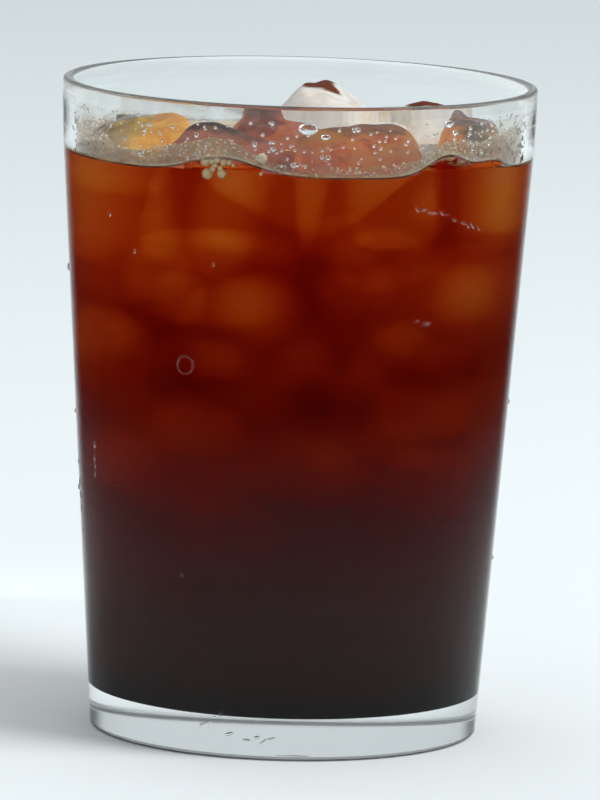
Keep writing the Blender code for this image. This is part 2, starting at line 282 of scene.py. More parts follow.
class TumblerSettings(bpy.types.PropertyGroup):
    """Sizes and colour of the glass."""

    height: FloatProperty(
        name="Height", description="From the foot to the top of the rim",
        default=GLASS_HIGH[2] - GLASS_LOW[2], unit="LENGTH")
    foot_wall_radius: FloatProperty(
        name="Foot wall radius", description="Outer wall carried down to the floor",
        default=35.7 * MM, unit="LENGTH")
    wall_slope: FloatProperty(
        name="Wall slope", description="How far the wall leans out for each metre of height",
        default=0.0694)
    wall_thickness: FloatProperty(
        name="Wall thickness", description="Thickness of the wall", default=2.2 * MM, unit="LENGTH")
    rim_thinning: FloatProperty(
        name="Rim thinning", description="How much thinner the wall is at the rim",
        default=0.3 * MM, unit="LENGTH")
    rim_corner: FloatProperty(
        name="Rim corner", description="Rounding of both edges of the rim",
        default=0.6 * MM, unit="LENGTH")
    straighten_from: FloatProperty(
        name="Straighten from", description="Height above which the wall turns upright",
        default=106.0 * MM, unit="LENGTH")
    floor_height: FloatProperty(
        name="Floor height", description="Inner floor above the foot", default=7.5 * MM, unit="LENGTH")
    floor_fillet: FloatProperty(
        name="Floor fillet", description="Rounding inside, between wall and floor",
        default=3.0 * MM, unit="LENGTH")
    punt_radius: FloatProperty(
        name="Punt radius", description="Radius of the hollow under the foot",
        default=28.5 * MM, unit="LENGTH")
    punt_rise: FloatProperty(
        name="Punt rise", description="Depth of the hollow under the foot",
        default=0.2 * MM, unit="LENGTH")
    heel_width: FloatProperty(
        name="Heel width", description="Rounding between wall and foot, level",
        default=0.7 * MM, unit="LENGTH")
    heel_height: FloatProperty(
        name="Heel height", description="Rounding between wall and foot, upwards",
        default=0.8 * MM, unit="LENGTH")
    colour: FloatVectorProperty(
        name="Colour", description="Faint tint of the glass", subtype="COLOR", size=3,
        default=(0.975, 0.992, 0.99), min=0.0, max=1.0)


class DrinkSettings(bpy.types.PropertyGroup):
    """Level and colours of the coffee."""

    level: FloatProperty(
        name="Level", description="Still surface above the foot", default=107.0 * MM, unit="LENGTH")
    climb_width: FloatProperty(
        name="Climb width", description="Ring along the wall where the surface is drawn up",
        default=16.0 * MM, unit="LENGTH")
    absorb_colour: FloatVectorProperty(
        name="Absorption colour", description="What the coffee lets through", subtype="COLOR", size=3,
        default=(0.84, 0.40, 0.0), min=0.0, max=1.0)
    strength: FloatProperty(
        name="Strength", description="How strongly the coffee takes up light, per metre",
        default=140.0, min=0.0)
    # The deep tint darkens the coffee towards the bottom
    deep_tint: FloatVectorProperty(
        name="Deep tint", description="Colour of the stronger coffee at the bottom", subtype="COLOR",
        size=3, default=(0.05, 0.05, 0.05), min=0.0, max=1.0)


class IceSettings(bpy.types.PropertyGroup):
    """Sizes and colour of the ice that is sunk in the drink."""

    pieces: IntProperty(
        name="Loose pieces", description="Pieces of sunk ice put in at random", default=44, min=0)
    largest: FloatProperty(
        name="Largest", description="Largest side of a loose piece", default=22.0 * MM, unit="LENGTH")
    smallest: FloatProperty(
        name="Smallest", description="Smallest side of a loose piece", default=8.0 * MM, unit="LENGTH")
    lowest: FloatProperty(
        name="Lowest", description="Height below which no ice floats", default=40.0 * MM, unit="LENGTH")
    melt: FloatProperty(
        name="Squareness", description="2 makes sunk ice round, larger values make it blocky",
        default=3.0, min=2.0)
    colour: FloatVectorProperty(
        name="Colour", description="Colour of the ice", subtype="COLOR", size=3,
        default=(0.97, 0.985, 0.985), min=0.0, max=1.0)
    seed: IntProperty(name="Seed", description="Layout of the sunk ice", default=7)


class FoamSettings(bpy.types.PropertyGroup):
    """Sizes and colour of the foam."""

    width: FloatProperty(
        name="Width", description="From the wall inwards", default=4.5 * MM, unit="LENGTH")
    height: FloatProperty(
        name="Height", description="Up the wall", default=2.0 * MM, unit="LENGTH")
    colour: FloatVectorProperty(
        name="Colour", description="Colour of the foam", subtype="COLOR", size=3,
        default=(0.52, 0.35, 0.22), min=0.0, max=1.0)
    seed: IntProperty(name="Seed", description="Layout of the small bubbles", default=11)


class StageSettings(bpy.types.PropertyGroup):
    """Floor, light and camera."""

    floor_colour: FloatVectorProperty(
        name="Floor colour", description="Colour of the plain floor", subtype="COLOR", size=3,
        default=(0.80, 0.84, 0.85), min=0.0, max=1.0)
    camera_distance: FloatProperty(
        name="Camera distance", description="From the axis of the glass, level",
        default=1.478, unit="LENGTH")
    camera_height: FloatProperty(
        name="Camera height", description="Above the floor", default=0.2808, unit="LENGTH")
    camera_pitch: FloatProperty(
        name="Camera pitch", description="Downward tilt", default=0.1477, unit="ROTATION")
    camera_roll: FloatProperty(
        name="Camera roll", description="Lean of the picture", default=0.0287, unit="ROTATION")
    focal_length: FloatProperty(
        name="Focal length", description="On a 36 mm sensor, in millimetres", default=364.6)
    surround: FloatProperty(
        name="Surround", description="Strength of the pale surround", default=0.8, min=0.0)
    key_power: FloatProperty(
        name="Key lamp", description="Power of the large soft lamp, in watts", default=34.0, min=0.0)
    strip_power: FloatProperty(
        name="Strip lamp", description="Power of the lamp above and behind, in watts",
        default=0.7, min=0.0)
    spot_power: FloatProperty(
        name="Spot lamp", description="Power of the narrow lamp on the ice, in watts",
        default=11.0, min=0.0)


def settings():
    """The scene's settings for every piece."""
    return bpy.context.scene.americano


def new_material(name):
    """A node material with an empty tree and its output."""
    material = bpy.data.materials.new(name)
    material.use_nodes = True
    nodes = material.node_tree.nodes
    nodes.clear()
    output = nodes.new("ShaderNodeOutputMaterial")
    return material, nodes, material.node_tree.links, output


def add_node(nodes, kind, **values):
    """A node with its properties, and its inputs by name, set."""
    node = nodes.new(kind)
    for key, value in values.items():
        if key in node.inputs:
            node.inputs[key].default_value = value
        else:
            setattr(node, key, value)
    return node


def principled(nodes, colour, roughness, **inputs):
    """A Principled shader with plain values on its own sockets."""
    shader = nodes.new("ShaderNodeBsdfPrincipled")
    shader.inputs["Base Color"].default_value = (*colour, 1.0)
    shader.inputs["Roughness"].default_value = roughness
    for key, value in inputs.items():
        shader.inputs[key.replace("_", " ")].default_value = value
    return shader


def wavy_bump(nodes, links, shader, scale, height, detail=2.0):
    """A fine uneven surface from noise on Object coordinates."""
    place = nodes.new("ShaderNodeTexCoord")
    grain = add_node(nodes, "ShaderNodeTexNoise", Scale=scale, Detail=detail)
    bump = add_node(nodes, "ShaderNodeBump", Strength=1.0, Distance=height)
    links.new(place.outputs["Object"], grain.inputs["Vector"])
    links.new(grain.outputs["Fac"], bump.inputs["Height"])
    links.new(bump.outputs["Normal"], shader.inputs["Normal"])
    return bump


def map_range(nodes, source, target=(0.0, 1.0), kind="SMOOTHSTEP"):
    """A node that turns values of one range into another."""
    node = add_node(nodes, "ShaderNodeMapRange", interpolation_type=kind)
    for key, value in zip(("From Min", "From Max", "To Min", "To Max"), (*source, *target)):
        node.inputs[key].default_value = value
    return node


def colour_ramp(nodes, stops):
    """A node that turns a number into a colour, from at least two places with their colours."""
    ramp = nodes.new("ShaderNodeValToRGB")
    steps = ramp.color_ramp.elements
    for step, (position, colour) in zip(list(steps), (stops[0], stops[-1])):
        step.position = position
        step.color = (*colour, 1.0)
    for position, colour in stops[1:-1]:
        step = steps.new(position)
        step.color = (*colour, 1.0)
    return ramp


def object_height(nodes, links):
    """The height above the foot, as an output."""
    place = nodes.new("ShaderNodeTexCoord")
    split = nodes.new("ShaderNodeSeparateXYZ")
    links.new(place.outputs["Object"], split.inputs[0])
    return split.outputs["Z"]


def mix_shaders(nodes, links, share, first, second):
    """Mixes two shaders; share is a number or an output, 0 for the first and 1 for the second."""
    mix = nodes.new("ShaderNodeMixShader")
    if isinstance(share, float):
        mix.inputs[0].default_value = share
    else:
        links.new(share, mix.inputs[0])
    links.new(first.outputs[0], mix.inputs[1])
    links.new(second.outputs[0], mix.inputs[2])
    return mix


def clear_shader(nodes, colour, ior, mirror=1.0):
    """A clear shader; mirror is how strongly it reflects, 1 for its full share."""
    return principled(nodes, colour, 0.0, Transmission_Weight=1.0, IOR=ior,
                      Specular_Tint=(mirror, mirror, mirror, 1.0))


def mix_by_mark(nodes, links, name, plain, marked):
    """Shows one shader where a face mark is 0 and the other where it is 1."""
    mark = add_node(nodes, "ShaderNodeAttribute", attribute_name=name)
    return mix_shaders(nodes, links, mark.outputs["Fac"], plain, marked)


def glass_material():
    """Clear pressed glass: it mirrors mostly near its edges, and bends less where it is wet."""
    material, nodes, links, output = new_material("clear glass")
    colour = settings().tumbler.colour
    dry = clear_shader(nodes, colour, GLASS_IOR)
    wavy_bump(nodes, links, dry, 90.0, 0.02 * MM)
    bare = add_node(nodes, "ShaderNodeBsdfRefraction", IOR=GLASS_IOR)
    bare.inputs["Color"].default_value = (*colour, 1.0)
    edge = add_node(nodes, "ShaderNodeLayerWeight", Blend=0.5)
    share = map_range(nodes, EDGE_MIRROR)
    least = map_range(nodes, MIRROR_HEIGHTS, LEAST_MIRROR)
    links.new(object_height(nodes, links), least.inputs["Value"])
    links.new(least.outputs["Result"], share.inputs["To Min"])
    links.new(edge.outputs["Facing"], share.inputs["Value"])
    place = nodes.new("ShaderNodeNewGeometry")
    mirror = add_node(nodes, "ShaderNodeMath", operation="MAXIMUM")
    links.new(share.outputs["Result"], mirror.inputs[0])
    links.new(place.outputs["Backfacing"], mirror.inputs[1])
    outside = mix_shaders(nodes, links, mirror.outputs[0], bare, dry)
    wet = clear_shader(nodes, colour, GLASS_IOR / DRINK_IOR, 0.0)
    wet.inputs["Roughness"].default_value = WET_ROUGHNESS
    mix = mix_by_mark(nodes, links, "wet", outside, wet)
    # Painted light: a whitish translucent layer paints the rim's bright band and covers the shade seen
    # through the heel
    bright = add_node(nodes, "ShaderNodeBsdfTranslucent", Color=PAINTED_LIGHT_COLOUR)
    whole = mix_by_mark(nodes, links, "painted_light", mix, bright)
    links.new(whole.outputs[0], output.inputs["Surface"])
    return material


def coffee_tints():
    """Steps of the coffee's tint, from dark at the bottom to clear at the surface."""
    stops = [(DEEP_UP_TO, settings().drink.deep_tint)]
    for share, shade in TINT_STEPS:
        stops.append((share, (shade, shade ** 2.2, 0.35 * shade ** 3)))
    return stops + [(GOLDEN_AT, (1.0, 1.0, 0.35)), (CLEAR_AT, WHITE)]


def coffee_material():
    """Coffee that takes up light by depth, and bends it only at its open surface and at ice."""
    drink = settings().drink
    material, nodes, links, output = new_material("coffee")
    surface = clear_shader(nodes, WHITE, DRINK_IOR)
    by_glass = clear_shader(nodes, WHITE, 1.0)
    by_ice = clear_shader(nodes, WHITE, 1.0)
    height = map_range(nodes, (0.0, drink.level), kind="LINEAR")
    tint = colour_ramp(nodes, coffee_tints())
    body = nodes.new("ShaderNodeVolumeAbsorption")
    body.inputs["Color"].default_value = (*drink.absorb_colour, 1.0)
    body.inputs["Density"].default_value = drink.strength
    links.new(object_height(nodes, links), height.inputs["Value"])
    links.new(height.outputs["Result"], tint.inputs[0])
    links.new(tint.outputs[0], by_glass.inputs["Base Color"])
    inside = mix_by_mark(nodes, links, "by_ice", by_glass, by_ice)
    mix = mix_by_mark(nodes, links, "open", inside, surface)
    links.new(mix.outputs[0], output.inputs["Surface"])
    links.new(body.outputs[0], output.inputs["Volume"])
    return material


def ice_material(name, colour, cloud, milk_colour, tip_colour):
    """Wet ice with cloudy streaks and a film of coffee on its tips; its tint is partly the coffee on it
    and partly painted light, the coffee-coloured light that comes through it.
    """
    material, nodes, links, output = new_material(name)
    shiny = clear_shader(nodes, colour, ICE_IOR)
    shiny.inputs["Roughness"].default_value = ICE_ROUGHNESS
    wavy_bump(nodes, links, shiny, 260.0, 0.16 * MM)
    bare = add_node(nodes, "ShaderNodeBsdfRefraction", IOR=ICE_IOR, Roughness=ICE_ROUGHNESS)
    wet = clear_shader(nodes, WHITE, 1.0)
    place = nodes.new("ShaderNodeTexCoord")
    streaks = add_node(nodes, "ShaderNodeTexNoise", Scale=130.0, Detail=4.0, Distortion=1.2)
    milk = map_range(nodes, CLOUD_STREAKS, (0.6 * cloud * cloud, cloud))
    tip = add_node(nodes, "ShaderNodeAttribute", attribute_name="tip")
    tints = []
    for tint in (colour, milk_colour):
        shade = add_node(nodes, "ShaderNodeMix", data_type="RGBA")
        shade.inputs[6].default_value = (*tint, 1.0)
        shade.inputs[7].default_value = (*tip_colour, 1.0)
        links.new(tip.outputs["Fac"], shade.inputs[0])
        tints.append(shade.outputs[2])
    white = nodes.new("ShaderNodeBsdfDiffuse")
    through = nodes.new("ShaderNodeBsdfTranslucent")
    links.new(place.outputs["Object"], streaks.inputs["Vector"])
    links.new(streaks.outputs["Fac"], milk.inputs["Value"])
    links.new(tints[0], shiny.inputs["Base Color"])
    links.new(tints[0], bare.inputs["Color"])
    links.new(tints[1], white.inputs["Color"])
    links.new(tints[1], through.inputs["Color"])
    clear = mix_shaders(nodes, links, ICE_SHINE, bare, shiny)
    cloudy = mix_shaders(nodes, links, 0.5, white, through)
    body = mix_shaders(nodes, links, milk.outputs["Result"], clear, cloudy)
    mix = mix_by_mark(nodes, links, "sunk", body, wet)
    links.new(mix.outputs[0], output.inputs["Surface"])
    return material


def sunk_ice_material():
    """Ice under the surface, whose faces the drink already bends the light at."""
    material, nodes, links, output = new_material("sunk ice")
    shader = clear_shader(nodes, WHITE, 1.0)
    links.new(shader.outputs[0], output.inputs["Surface"])
    return material


def foam_material(name, colour, cell):
    """A film of fine bubbles: see-through where its cover is low, beige where it is thick."""
    material, nodes, links, output = new_material(name)
    place = nodes.new("ShaderNodeTexCoord")
    cells = add_node(nodes, "ShaderNodeTexVoronoi", Scale=cell, feature="DISTANCE_TO_EDGE")
    walls = map_range(nodes, *CELL_TONES, kind="LINEAR")
    patches = add_node(nodes, "ShaderNodeTexNoise", Scale=170.0, Detail=4.0, Roughness=0.55)
    drift = map_range(nodes, *PATCH_COVER, kind="LINEAR")
    cover = add_node(nodes, "ShaderNodeAttribute", attribute_name="cover")
    total = add_node(nodes, "ShaderNodeMath", operation="MULTIPLY")
    share = add_node(nodes, "ShaderNodeMath", operation="MULTIPLY", use_clamp=True)
    tone = add_node(nodes, "ShaderNodeMix", data_type="RGBA", blend_type="MULTIPLY")
    tone.inputs[0].default_value = 1.0
    rise = add_node(nodes, "ShaderNodeAttribute", attribute_name="rise")
    layers = colour_ramp(nodes, EDGE_LINES + ((FOAM_BODY, colour),) + UPPER_FOAM)
    bump = add_node(nodes, "ShaderNodeBump", Strength=0.7, Distance=0.1 * MM)
    skin = principled(nodes, colour, 0.3)
    glow = nodes.new("ShaderNodeBsdfTranslucent")
    clear = nodes.new("ShaderNodeBsdfTransparent")
    links.new(place.outputs["Object"], cells.inputs["Vector"])
    links.new(place.outputs["Object"], patches.inputs["Vector"])
    links.new(cells.outputs["Distance"], walls.inputs["Value"])
    links.new(cells.outputs["Distance"], bump.inputs["Height"])
    links.new(patches.outputs["Fac"], drift.inputs["Value"])
    links.new(cover.outputs["Fac"], total.inputs[0])
    links.new(drift.outputs["Result"], total.inputs[1])
    links.new(total.outputs[0], share.inputs[0])
    links.new(walls.outputs["Result"], share.inputs[1])
    links.new(rise.outputs["Fac"], layers.inputs[0])
    links.new(layers.outputs[0], tone.inputs[6])
    links.new(walls.outputs["Result"], tone.inputs[7])
    links.new(tone.outputs[2], skin.inputs["Base Color"])
    links.new(tone.outputs[2], glow.inputs["Color"])
    links.new(bump.outputs["Normal"], skin.inputs["Normal"])
    thick = mix_shaders(nodes, links, FOAM_GLOW, skin, glow)
    mix = mix_shaders(nodes, links, share.outputs[0], clear, thick)
    links.new(mix.outputs[0], output.inputs["Surface"])
    return material


def bubble_material(name, colour, clearness, roughness):
    """Pearly bubbles that the light passes through in part."""
    material, nodes, links, output = new_material(name)
    shader = principled(nodes, colour, roughness, Transmission_Weight=clearness, IOR=BUBBLE_IOR)
    wavy_bump(nodes, links, shader, 900.0, 0.03 * MM)
    links.new(shader.outputs[0], output.inputs["Surface"])
    return material


def water_material():
    """Clear drops of water."""
    material, nodes, links, output = new_material("water drops")
    shader = clear_shader(nodes, WHITE, DRINK_IOR)
    wavy_bump(nodes, links, shader, 500.0, 0.02 * MM)
    links.new(shader.outputs[0], output.inputs["Surface"])
    return material


def floor_material():
    """Plain pale paper."""
    material, nodes, links, output = new_material("pale floor")
    shader = principled(nodes, settings().stage.floor_colour, 0.9)
    wavy_bump(nodes, links, shader, 400.0, 0.04 * MM, detail=4.0)
    links.new(shader.outputs[0], output.inputs["Surface"])
    return material


def make_object(name, work, material, smooth=True):
    """Turns a bmesh into an object with its place in its mesh."""
    mesh = bpy.data.meshes.new(name)
    work.to_mesh(mesh)
    work.free()
    if smooth:
        mesh.shade_smooth()
    obj = bpy.data.objects.new(name, mesh)
    bpy.context.scene.collection.objects.link(obj)
    mesh.materials.append(material)
    return obj


def finish_piece(obj, slot, *nodes):
    """Says what a piece rides on and which solids it stands for; slot, what it is made of, is not used.
    """
    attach(obj, BODY)
    if nodes:
        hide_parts(*nodes)


def arc(centre, radii, start, end, steps):
    """Points on an elliptic arc in the r-z plane, angles in degrees."""
    points = []
    for step in range(steps + 1):
        angle = math.radians(start + (end - start) * step / steps)
        points.append((centre[0] + radii[0] * math.cos(angle),
                       centre[1] + radii[1] * math.sin(angle)))
    return points


def outer_radius(z):
    """Outer wall of the glass: a straight taper that turns upright near the rim."""
    glass = settings().tumbler
    above = max(0.0, z - glass.straighten_from)
    span = glass.height - glass.straighten_from
    return glass.foot_wall_radius + glass.wall_slope * (z - above * above / (2 * span))


def thickness(z):
    """Thickness of the wall, which thins towards the rim."""
    glass = settings().tumbler
    share = min(1.0, max(0.0, (z - THIN_FROM) / (glass.height - THIN_FROM)))
    return glass.wall_thickness - glass.rim_thinning * share * share * (3.0 - 2.0 * share)


def inner_radius(z):
    """Inner wall of the glass."""
    return outer_radius(z) - thickness(z)


def floor_corner(reach_in, steps):
    """Rounded inner corner of the floor, pushed into the glass by reach_in."""
    glass = settings().tumbler
    low = glass.floor_height - reach_in
    high = glass.floor_height + glass.floor_fillet
    across = inner_radius(high) + reach_in
    reach = glass.floor_fillet + reach_in
    return arc((across - reach, low + reach), (reach, reach), -90, 0, steps)


def spaced(low, high, steps):
    """Evenly spaced heights after low, up to high."""
    return [low + (high - low) * step / steps for step in range(1, steps + 1)]


def spin_profile(profile, steps, closed=False):
    """Turns a profile of (r, z) points about the Z axis into a closed body."""
    work = bmesh.new()
    verts = [work.verts.new((r, 0.0, z)) for r, z in profile]
    edges = [work.edges.new(pair) for pair in zip(verts, verts[1:])]
    if closed:
        edges.append(work.edges.new((verts[-1], verts[0])))
    bmesh.ops.spin(work, geom=verts + edges, cent=(0, 0, 0), axis=(0, 0, 1),
                   angle=2 * math.pi, steps=steps, use_merge=True)
    bmesh.ops.remove_doubles(work, verts=work.verts, dist=0.0005 * MM)
    bmesh.ops.recalc_face_normals(work, faces=work.faces)
    return work


def bearing_of(point):
    """Bearing round the glass in degrees: 0 at the front (-Y), 90 at the right (+X)."""
    return math.degrees(math.atan2(point.x, -point.y))


def hump(bearing, middle, width):
    """A smooth bump of height 1 round a bearing."""
    away = (bearing - middle + 180.0) % 360.0 - 180.0
    return math.exp(-(away / width) ** 2)


def water_line(bearing):
    """Height of the coffee against the wall."""
    climb = sum(rise * hump(bearing, middle, width) for middle, width, rise in CLIMBS)
    return settings().drink.level + climb


def surface_height(point):
    """Height of the coffee's surface, which is drawn up in a ring along the wall."""
    drink = settings().drink
    across = math.hypot(point.x, point.y)
    inside = inner_radius(drink.level) - drink.climb_width
    share = min(1.0, max(0.0, (across - inside) / drink.climb_width))
    return drink.level + (water_line(bearing_of(point)) - drink.level) * share ** CLIMB_POWER


def foam_point(bearing, across, up):
    """A point of the foam from its shares across and up at a bearing."""
    foam = settings().foam
    level = settings().drink.level
    wide = sum(mound[2] * hump(bearing, mound[0], mound[1]) for mound in FOAM_MOUNDS)
    tall = sum(mound[3] * hump(bearing, mound[0], mound[1]) for mound in FOAM_MOUNDS)
    turn = math.radians(bearing)
    ripple = 1.0 + 0.16 * math.sin(7 * turn) + 0.1 * math.sin(17 * turn)
    direction = Vector((math.sin(turn), -math.cos(turn), 0.0))
    foot = direction * (inner_radius(level) - (foam.width + wide) * ripple * across)
    z = surface_height(foot) + (foam.height + tall) * ripple * up
    return direction * min(foot.length, inner_radius(z)) + Vector((0.0, 0.0, z))


def wall_place(bearing, z, inwards):
    """A place at a bearing and height, a little way in from the inner wall."""
    turn = math.radians(bearing)
    direction = Vector((math.sin(turn), -math.cos(turn), 0.0))
    return direction * (inner_radius(z) - inwards) + Vector((0.0, 0.0, z))


def outer_place(bearing, z, inwards):
    """A place at a bearing and height, a little way in from the outer wall."""
    turn = math.radians(bearing)
    across = outer_radius(z) - inwards
    return Vector((math.sin(turn) * across, -math.cos(turn) * across, z))


def add_ball(work, middle, radius, finer):
    """Adds a ball to a bmesh."""
    bmesh.ops.create_icosphere(work, subdivisions=finer, radius=radius,
                               matrix=Matrix.Translation(middle))


def cluster_bubbles():
    """Middle and radius of each bubble of the cluster."""
    bubbles = []
    for along, height, radius in CLUSTER:
        bearing = CLUSTER_BEARING + math.degrees(along * MM / inner_radius(height * MM))
        inwards = (radius + 0.1) * MM
        bubbles.append((wall_place(bearing, height * MM, inwards), radius * MM))
    return bubbles


def mist_cover(bearing, rise):
    """How much of the wall foam and mist hide at a height above the coffee."""
    cover = 0.0
    for middle, width, most, height in MIST:
        fade = min(1.0, max(0.0, 1.0 - rise / height))
        cover += most * hump(bearing, middle, width) * math.sqrt(fade)
    return cover


def cube_grid():
    """The surface of a cube as a bmesh of even squares."""
    work = bmesh.new()
    bmesh.ops.create_cube(work, size=2.0)
    bmesh.ops.subdivide_edges(work, edges=work.edges, cuts=5, use_grid_fill=True)
    return work


def lump_points(ways, size, phase):
    """Places on a wavy rounded block, one along each of the given directions."""
    squareness = settings().ice.melt
    reach = (numpy.abs(ways) ** squareness).sum(axis=1) ** (-1.0 / squareness)
    x, y, z = (ways * reach[:, None]).T
    wave = (numpy.sin(2.1 * x + 1.3 * y + phase) + numpy.sin(2.6 * y - 1.7 * z + 2.0 * phase)
            + numpy.sin(2.3 * z + 1.9 * x - phase)) / 3.0
    reach *= 1.0 + WAVINESS * wave
    return ways * reach[:, None] * numpy.array(size) * 0.5


def welded_copy(node_name):
    """The mesh of a solid as a bmesh with shared corners and its flat pairs rejoined."""
    work = bmesh.new()
    work.from_mesh(frame["nodes"][node_name].data)
    bmesh.ops.remove_doubles(work, verts=work.verts, dist=0.002 * MM)
    bmesh.ops.join_triangles(work, faces=work.faces, angle_face_threshold=math.radians(40),
                             angle_shape_threshold=math.radians(60))
    return work


def smooth_object(name, work, material, levels):
    """An object whose mesh is the subdivided form of a coarse one."""
    coarse = make_object(name, work, material)
    finer = coarse.modifiers.new("smooth", "SUBSURF")
    finer.levels = levels
    finer.render_levels = levels
    graph = bpy.context.evaluated_depsgraph_get()
    mesh = bpy.data.meshes.new_from_object(coarse.evaluated_get(graph))
    coarse.modifiers.clear()
    old = coarse.data
    coarse.data = mesh
    bpy.data.meshes.remove(old)
    mesh.name = name
    mesh.shade_smooth()
    return coarse


def mark_faces(obj, name, value):
    """A number on every face; value is a number or a function of the face's middle."""
    mesh = obj.data
    marks = mesh.attributes.get(name) or mesh.attributes.new(name, "FLOAT", "FACE")
    for face in mesh.polygons:
        marks.data[face.index].value = value(face.center) if callable(value) else value


class AMERICANO_OT_tumbler(bpy.types.Operator):
    """Build the clear tumbler with its thick base and softly rounded rim"""

    bl_idname = "americano.tumbler"
    bl_label = "Tumbler"

    def execute(self, context):
        glass = settings().tumbler
        rounding = glass.rim_corner
        rim_height = glass.height - rounding
        heel_width = glass.heel_width
        heel_height = glass.heel_height
        profile = []
        for share in [step / 12 for step in range(12)]:
            profile.append((glass.punt_radius * share, glass.punt_rise * (1 - share * share)))
        profile += [(glass.punt_radius, 0.0), (glass.punt_radius + 1.5 * MM, 0.0)]
        heel_radius = outer_radius(heel_height)
        profile += arc((heel_radius - heel_width, heel_height), (heel_width, heel_height), -90, 0, 8)
        profile += [(outer_radius(z), z) for z in spaced(heel_height, glass.straighten_from, 20)]
        profile += [(outer_radius(z), z) for z in spaced(glass.straighten_from, rim_height, 8)[:-1]]
        outer_corner = (outer_radius(rim_height) - rounding, rim_height)
        inner_corner = (inner_radius(rim_height) + rounding, rim_height)
        profile += arc(outer_corner, (rounding, rounding), 0, 90, 10)
        profile += arc(inner_corner, (rounding, rounding), 90, 180, 10)
        lowest_wall = glass.floor_height + glass.floor_fillet
        down = spaced(rim_height, glass.straighten_from, 8)
        down += spaced(glass.straighten_from, lowest_wall, 20)
        profile += [(inner_radius(z), z) for z in down[:-1]]
        profile += reversed(floor_corner(0.0, 10))
        reach = profile[-1][0]
        profile += [(reach * (1 - step / 8), glass.floor_height) for step in range(1, 9)]
        tumbler = make_object("tumbler", spin_profile(profile, ROUND_STEPS), glass_material())
        mark_faces(tumbler, "wet", self.is_wet)
        mark_faces(tumbler, "painted_light", self.painted_light_share)
        finish_piece(tumbler, "clear_glass", "glass")
        return {"FINISHED"}

    def painted_light_share(self, middle):
        """How much light is painted on the glass: a highlight band near the rim, a little at the front
        and most at the sides, and the heel, whitened over the shade under the foot.
        """
        glass = settings().tumbler
        if middle.z < glass.heel_height and middle.xy.length > glass.punt_radius + 2.0 * MM:
            return HEEL_PAINTED_LIGHT
        share = max(0.0, (middle.z - glass.height + RIM_HIGHLIGHT_BAND) / RIM_HIGHLIGHT_BAND)
        side = math.sin(math.radians(bearing_of(middle))) ** 2
        return math.sqrt(share) * (LEAST_RIM_HIGHLIGHT + (MOST_RIM_HIGHLIGHT - LEAST_RIM_HIGHLIGHT) * side)

    def is_wet(self, middle):
        """Whether the coffee lies against the glass at this place."""
        glass = settings().tumbler
        across = math.hypot(middle.x, middle.y)
        halfway = inner_radius(middle.z) + 0.5 * glass.wall_thickness
        under = water_line(bearing_of(middle))
        return float(across < halfway and 0.5 * glass.floor_height < middle.z < under)


